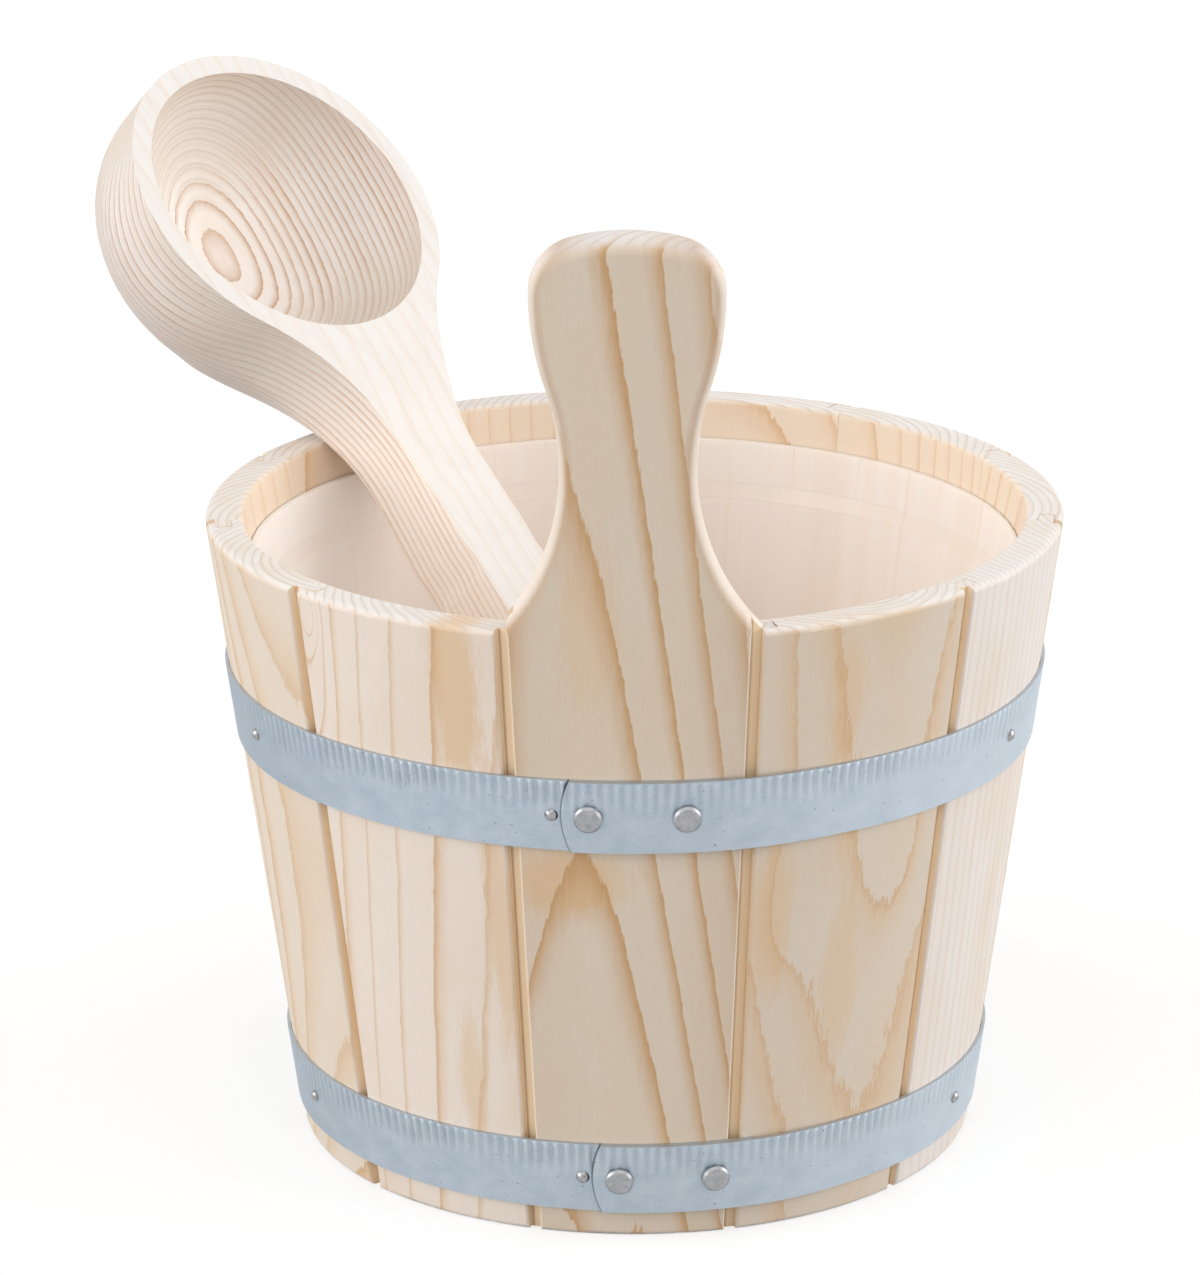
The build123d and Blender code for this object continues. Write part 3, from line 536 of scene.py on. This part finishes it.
def ladle_wood(name, place, grain):
    """Wood with painted shade under the bowl, painted light growing along the handle, and a pale flat
    top on the rim and the handle.
    """
    wood = Wood(name, place, grain)
    wood.lay_late_wood()

    # Painted shade on the underside of the bowl, with half-spaced rings drawn there too
    under = wood.span(wood.outwards, 0.3, -0.2)
    under = wood.times(under, wood.span(wood.w, BOWL_SHADE_END, BOWL_SHADE_FULL))
    half_rings = wood.saw(wood.times(wood.phase, 2.0), 0.4)
    wood.lay(wood.times(under, 0.38), BOWL_PAINTED_SHADE)
    wood.lay(wood.times(under, half_rings, 0.35), BOWL_RINGS)
    # Painted light: the handle grows paler towards its end, down in the bucket
    wood.lay(wood.span(wood.w, HANDLE_LIGHT_FROM, HANDLE_LIGHT_FULL, 0.0, 0.62), HANDLE_PAINTED_LIGHT)

    level = wood.span(wood.outwards, 0.93, 0.985)
    level = wood.times(level, wood.span(wood.v, TOP_FACE_FROM, TOP_FACE_FULL), 0.93)
    track = wood.line(wood.u, 1.0 / TOP_LINE_SPACING, wood.times(wood.cloud, TOP_LINE_WOBBLE))
    # Painted light: the flat top grows a little paler towards the handle's end
    top = wood.mix(wood.span(wood.w, TOP_LIGHT_FROM, TOP_LIGHT_FULL), TOP_AT_BOWL, TOP_LIT_AT_END)
    top = wood.mix(wood.times(wood.saw(track, 0.55), 0.28), top, TOP_LINES)
    wood.lay(level, top)

    wood.lay_fibres()
    return wood.finish()


dress("ladle", ladle_wood("pine_ladle", LADLE_PLACE, LADLE_GRAIN))


# Hoops: galvanised strip, with upright ripples left by the rollers along its upper edge
HOOP_HALF_WIDTH = 10.0
UPPER_HOOP_MIDDLE = 124.0
LOWER_HOOP_MIDDLE = 18.0
UPPER_LAP_END = -17.4
LOWER_LAP_END = -10.2
LAP_BULGE = 2.2
LAP_SHADOW_RISE = (-0.55, -0.1)
LAP_SHADOW_FALL = (0.2, 0.02)

# Ripples: their pitch, and heights over the strip's middle. Where they start drifts up by a noise
RIPPLE_PITCH = 2.75
RIPPLE_FROM = -4.5
RIPPLE_FROM_DRIFT = 6.0
RIPPLE_FULL = 7.0
RIPPLE_END_FROM = 8.8
RIPPLE_END = 9.9
DRIFT_STRETCH = 0.05
PATCH_STRETCH = 0.028
PATCH_SHIFT = 4.0

# Painted light right of the front and painted shade left of it, fading at the back; measured from the
# front, growing right
ZINC_LIGHT_FROM = 20.0
ZINC_LIGHT_FULL = 95.0
ZINC_SHADE_FROM = -70.0
ZINC_SHADE_FULL = -150.0
BACK_FROM = 190.0
BACK_FULL = 280.0
SPANGLE_STRETCH = (0.11, 0.16, 0.0)
GRIT_STRETCH = (1.9, 1.9, 0.0)
SPECK_STRETCH = (0.9, 0.9, 0.0)
ZINC_BUMP = 0.0004

ZINC_DARK = linear(142, 158, 172)
ZINC_PALE = linear(170, 183, 194)
ZINC_PAINTED_LIGHT = linear(202, 214, 225)
ZINC_PAINTED_SHADE = linear(118, 134, 152)
RIPPLE_PAINTED_HIGHLIGHT = linear(212, 221, 229)
RIPPLE_PAINTED_SHADE = linear(118, 136, 152)
GRIT_PALE = linear(214, 219, 223)
GRIT_DARK = linear(120, 134, 146)
SPECKS = linear(96, 104, 112)
STRIP_EDGE = linear(186, 194, 202)
LAP_PAINTED_SHADOW = linear(58, 64, 72)


def hoop_ripples(g, arc, over):
    """Wave round the hoop, and the mask that keeps it to patches of the upper edge."""
    drift = g.noise(g.combine(g.times(arc, DRIFT_STRETCH), 0.0, 0.0))
    patch = g.noise(g.combine(g.times(arc, PATCH_STRETCH), PATCH_SHIFT, 0.0), detail=1.0)
    wave = g.math("SINE", g.line(arc, 2.0 * math.pi / RIPPLE_PITCH, g.times(drift, 5.0)))
    mask = g.times(
        g.span(over, g.line(drift, RIPPLE_FROM_DRIFT, RIPPLE_FROM), RIPPLE_FULL, smooth=True),
        g.span(over, RIPPLE_END, RIPPLE_END_FROM),
        g.span(patch, 0.3, 0.62, 0.35, 1.0),
    )
    return wave, mask


def lay_lap_shadow(g, arc, over, lap_end):
    """Painted shadow: a thin dark line along the curved end of the outer layer."""
    share = g.times(over, 1.0 / HOOP_HALF_WIDTH)
    curve = g.line(g.times(share, share), LAP_BULGE, lap_end)
    from_lap = g.math("SUBTRACT", arc, curve)
    g.lay(g.times(g.window(from_lap, LAP_SHADOW_RISE, LAP_SHADOW_FALL), 0.85), LAP_PAINTED_SHADOW)


def galvanised(name, middle, lap_end):
    """Zinc with painted light to the right of the front, painted shade to the left, even at the back,
    and painted highlights and shade on the ripples.
    """
    g = Graph(bpy.data.materials.new(name))
    x, y, z = g.split(g.place())
    angle = g.math("ARCTAN2", x, g.times(y, -1.0))
    arc = g.times(angle, FOOT_RADIUS + TAPER_SLOPE * middle)
    over = g.math("SUBTRACT", z, middle)
    wave, mask = hoop_ripples(g, arc, over)
    ripple = g.times(wave, mask)

    sheet = g.combine(arc, over, 0.0)
    spangle = g.noise(g.vector("MULTIPLY", sheet, SPANGLE_STRETCH), detail=4.0, roughness=0.6)
    grit = g.noise(g.vector("MULTIPLY", sheet, GRIT_STRETCH), detail=4.0, roughness=0.75)
    speck = g.noise(g.vector("MULTIPLY", sheet, SPECK_STRETCH), detail=0.0)
    front = g.span(g.math("ABSOLUTE", arc), BACK_FULL, BACK_FROM, smooth=True)

    g.color = g.mix(g.span(spangle, 0.3, 0.7), ZINC_DARK, ZINC_PALE)
    # Painted light to the right of the front and painted shade to the left
    g.lay(g.times(g.span(arc, ZINC_LIGHT_FROM, ZINC_LIGHT_FULL, 0.0, 0.5), front), ZINC_PAINTED_LIGHT)
    g.lay(g.times(g.span(arc, ZINC_SHADE_FROM, ZINC_SHADE_FULL, 0.0, 0.7), front), ZINC_PAINTED_SHADE)
    # Painted highlight on the ripples' crests, with a faint share of it everywhere, and painted shade in
    # their troughs
    g.lay(g.line(ripple, 0.20, 0.12), RIPPLE_PAINTED_HIGHLIGHT)
    g.lay(g.times(mask, g.span(wave, 0.1, -0.9), 0.22), RIPPLE_PAINTED_SHADE)
    g.lay(g.span(grit, 0.30, 0.70, 0.0, 0.36), GRIT_PALE)
    g.lay(g.span(grit, 0.42, 0.22, 0.0, 0.4), GRIT_DARK)
    g.lay(g.times(g.span(speck, 0.80, 0.86), 0.6), SPECKS)
    g.lay(g.span(g.math("ABSOLUTE", g.along_normal(UP)), 0.5, 0.9), STRIP_EDGE)
    lay_lap_shadow(g, arc, over, lap_end)

    rough = g.line(grit, 0.10, g.line(spangle, 0.20, 0.34))
    height = g.math("ADD", ripple, g.times(grit, 0.12))
    return g.surface(rough, g.bump(height, 0.8, ZINC_BUMP), Metallic=0.9)


dress("upper_hoop", galvanised("galvanised_upper", UPPER_HOOP_MIDDLE, UPPER_LAP_END))
dress("lower_hoop", galvanised("galvanised_lower", LOWER_HOOP_MIDDLE, LOWER_LAP_END))


# Plated rivets and drawn nails. Scale is the turns of the slowest noise for each millimetre
PIT_SCALE = 4.0
FLAKE_SCALE = 9.0
FASTENER_BUMP = 0.0001
FLAKE_PALE = linear(206, 206, 207)
FLAKE_DARK = linear(112, 112, 114)
PITS = linear(90, 88, 88)


def fastener(name, dark, light, rough_low, rough_high, scale):
    g = Graph(bpy.data.materials.new(name))
    place = g.place()
    blotch = g.noise(place, scale=scale, detail=4.0, roughness=0.6)
    pit = g.noise(place, scale=scale * PIT_SCALE)
    flake = g.noise(place, scale=scale * FLAKE_SCALE, detail=3.0, roughness=0.8)
    g.color = g.mix(g.span(blotch, 0.32, 0.68), dark, light)
    g.lay(g.span(flake, 0.35, 0.65, 0.0, 0.35), FLAKE_PALE)
    g.lay(g.span(flake, 0.45, 0.25, 0.0, 0.5), FLAKE_DARK)
    g.lay(g.span(pit, 0.68, 0.78, 0.0, 0.5), PITS)
    rough = g.span(blotch, 0.3, 0.7, rough_low, rough_high)
    height = g.math("ADD", blotch, g.times(pit, 0.5))
    return g.surface(rough, g.bump(height, 0.3, FASTENER_BUMP), Metallic=1.0)


rivets = fastener("rivet_plate", linear(134, 136, 140), linear(168, 169, 172), 0.32, 0.48, 0.55)
nails = fastener("nail_steel", linear(112, 112, 114), linear(168, 168, 170), 0.20, 0.34, 0.8)
for side in ("upper", "lower"):
    dress(f"{side}_hoop_rivets", rivets)
    dress(f"{side}_hoop_nails", nails)


# Liner: milky and warm, a little darker where a seam between two staves lies behind it, with painted
# light, painted shade on its shoulder and a faint painted glow
SHOULDER_FOOT = 146.4
SHOULDER_TOP = 151.6
SHOULDER_SOFT = 0.8
SUNK_FROM = 150.0
SUNK_FULL = 40.0
LINES_FROM = 105.0
LINES_FULL = 163.0
MILK_LIGHT_FROM = -30.0
MILK_LIGHT_FULL = -85.0
HAZE_SCALE = 0.02
SPECKLE_SCALE = 1.4
MILK_BUMP = 0.00008
MILK_DEPTH = (0.006, 0.004, 0.003)

# Turns of the streaks and the lines for each radian round and each millimetre up
STREAKS_ROUND = 22.0
STREAKS_UP = 0.008
LINES_ROUND = 60.0
LINES_UP = 0.012
LINES_SHIFT = 5.0

MILK = linear(251, 238, 229)
MILK_STREAKS = linear(250, 233, 221)
MILK_AT_SEAMS = linear(236, 210, 190)
MILK_SUNK = linear(250, 230, 213)
MILK_PAINTED_LIGHT = linear(255, 249, 244)
MILK_LINES = linear(216, 184, 152)
MILK_PAINTED_SHADE = linear(214, 190, 170)
MILK_HAZE = linear(252, 243, 237)
MILK_PAINTED_GLOW = linear(255, 240, 224)


def milky():
    """Plastic that shows streaks and lines of the wood behind it, mostly on its inside, with painted
    light on its left side, painted shade on the shoulder and a faint painted glow.
    """
    g = Graph(bpy.data.materials.new("milky_liner"))
    place = g.place()
    x, y, z = g.split(place)
    angle = g.math("ARCTAN2", x, g.times(y, -1.0))
    outwards = g.vector("NORMALIZE", g.combine(x, y, 0.0))
    facing = g.vector("DOT_PRODUCT", g.coordinate("Normal"), outwards)
    within = g.span(facing, -0.3, -0.7)
    seam = g.math("ABSOLUTE", g.math("SINE", g.times(angle, STAVE_COUNT / 2.0)))
    behind = g.span(seam, 0.90, 1.0, smooth=True)
    streaks = g.combine(g.times(angle, STREAKS_ROUND), 0.0, g.times(z, STREAKS_UP))
    streaks = g.span(g.noise(streaks, detail=3.0), 0.35, 0.7)
    lines = g.combine(g.times(angle, LINES_ROUND), LINES_SHIFT, g.times(z, LINES_UP))
    lines = g.span(g.noise(lines, detail=3.0), 0.57, 0.72)
    haze = g.noise(place, scale=HAZE_SCALE)
    speckle = g.noise(place, scale=SPECKLE_SCALE)

    streaked = g.times(streaks, g.line(within, 0.8, 0.2))
    lined = g.times(g.span(z, LINES_FROM, LINES_FULL, 0.0, 0.3), lines, within)
    rise = (SHOULDER_FOOT, SHOULDER_FOOT + SHOULDER_SOFT)
    fall = (SHOULDER_TOP, SHOULDER_TOP - SHOULDER_SOFT)
    g.color = g.mix(streaked, MILK, MILK_STREAKS)
    g.lay(g.times(behind, within, 0.2), MILK_AT_SEAMS)
    g.lay(g.times(g.span(z, SUNK_FROM, SUNK_FULL), 0.4), MILK_SUNK)
    # Painted light: paler towards the left
    g.lay(g.span(x, MILK_LIGHT_FROM, MILK_LIGHT_FULL, 0.0, 0.7), MILK_PAINTED_LIGHT)
    g.lay(lined, MILK_LINES)
    # Painted shade on the shoulder ledge, dimming the light it catches
    g.lay(g.times(g.window(z, rise, fall), 0.25), MILK_PAINTED_SHADE)
    g.lay(g.span(haze, 0.4, 0.7, 0.0, 0.2), MILK_HAZE)
    # The faint emission is a painted glow, standing in for light inside the bucket
    return g.surface(
        g.span(haze, 0.3, 0.7, 0.30, 0.42),
        g.bump(speckle, 0.15, MILK_BUMP),
        Specular_IOR_Level=0.4,
        Subsurface_Weight=0.35,
        Subsurface_Radius=MILK_DEPTH,
        Subsurface_Scale=1.0,
        Emission_Color=MILK_PAINTED_GLOW,
        Emission_Strength=0.025,
    )


dress("liner", milky())


# Floor and light. Both look white to the camera, and light the part at a plain level
FLOOR_SIZE = 16.0
FLOOR_PLACE = (0.0, 2.0, 0.0)
FLOOR_DARK = (0.37, 0.37, 0.37, 1.0)
FLOOR_PALE = (0.39, 0.39, 0.39, 1.0)
FLOOR_TONE_SCALE = 3.0
FLOOR_GLOW = 0.64
WORLD_LEVEL = 0.72
WORLD_LEVEL_SEEN = 1.0
WHITE = (1.0, 1.0, 1.0, 1.0)

# Name, direction from the part, irradiance, and spread in degrees
LAMPS = (
    ("lamp_top", (0.0, -0.7, 1.0), 0.12, 50.0),
    ("lamp_left", (-0.95, -0.31, 0.15), 0.62, 60.0),
    ("lamp_right", (1.0, -0.04, 0.15), 0.64, 60.0),
)


def floor_material():
    g = Graph(bpy.data.materials.new("studio_floor"))
    tone = g.noise(g.coordinate("Object"), scale=FLOOR_TONE_SCALE)
    diffuse = g.add("ShaderNodeBsdfDiffuse")
    g.feed(diffuse.inputs["Color"], g.mix(tone, FLOOR_DARK, FLOOR_PALE))
    glow = g.add("ShaderNodeEmission")
    g.feed(glow.inputs["Strength"], g.times(g.seen(), FLOOR_GLOW))
    both = g.add("ShaderNodeAddShader")
    g.feed(both.inputs[0], diffuse.outputs[0])
    g.feed(both.inputs[1], glow.outputs[0])
    g.feed(g.output.inputs["Surface"], both.outputs[0])
    return g.owner


def make_world():
    g = Graph(bpy.data.worlds.new("studio_world"), "ShaderNodeOutputWorld")
    background = g.add("ShaderNodeBackground")
    g.feed(background.inputs["Color"], WHITE)
    g.feed(background.inputs["Strength"], g.span(g.seen(), 0.0, 1.0, WORLD_LEVEL, WORLD_LEVEL_SEEN))
    g.feed(g.output.inputs["Surface"], background.outputs[0])
    return g.owner


def make_sun(name, towards, irradiance, spread):
    """A soft distant lamp that shines from a direction."""
    data = bpy.data.lights.new(name, "SUN")
    data.energy = irradiance * math.pi
    data.angle = math.radians(spread)
    lamp = bpy.data.objects.new(name, data)
    bpy.context.scene.collection.objects.link(lamp)
    lamp.rotation_mode = "QUATERNION"
    lamp.rotation_quaternion = Vector(towards).normalized().to_track_quat("Z", "Y")


bpy.ops.mesh.primitive_plane_add(size=FLOOR_SIZE, location=FLOOR_PLACE)
floor = bpy.context.object
floor.name = "studio_floor"
floor.data.materials.append(floor_material())

bpy.context.scene.world = make_world()
for lamp in LAMPS:
    make_sun(*lamp)


# Camera, fitted to the photo
CAMERA_PLACE = Vector((0.01922, -1.48979, 0.62467))
CAMERA_FORWARD = Vector((-0.01829, 0.95003, -0.31162)).normalized()
CAMERA_RIGHT = Vector((0.99983, 0.01756, -0.00513)).normalized()
CAMERA_UP = CAMERA_RIGHT.cross(CAMERA_FORWARD).normalized()
CAMERA_LENS = 162.88
CAMERA_SENSOR = 36.0
CAMERA_REACH = 50.0

camera_data = bpy.data.cameras.new("camera")
camera_data.lens = CAMERA_LENS
camera_data.sensor_width = CAMERA_SENSOR
camera_data.clip_end = CAMERA_REACH
camera = bpy.data.objects.new("camera", camera_data)
bpy.context.scene.collection.objects.link(camera)
turn = Matrix((CAMERA_RIGHT, CAMERA_UP, -CAMERA_FORWARD)).transposed()
camera.matrix_world = Matrix.Translation(CAMERA_PLACE) @ turn.to_4x4()
bpy.context.scene.camera = camera

bpy.context.scene.view_settings.view_transform = "Standard"
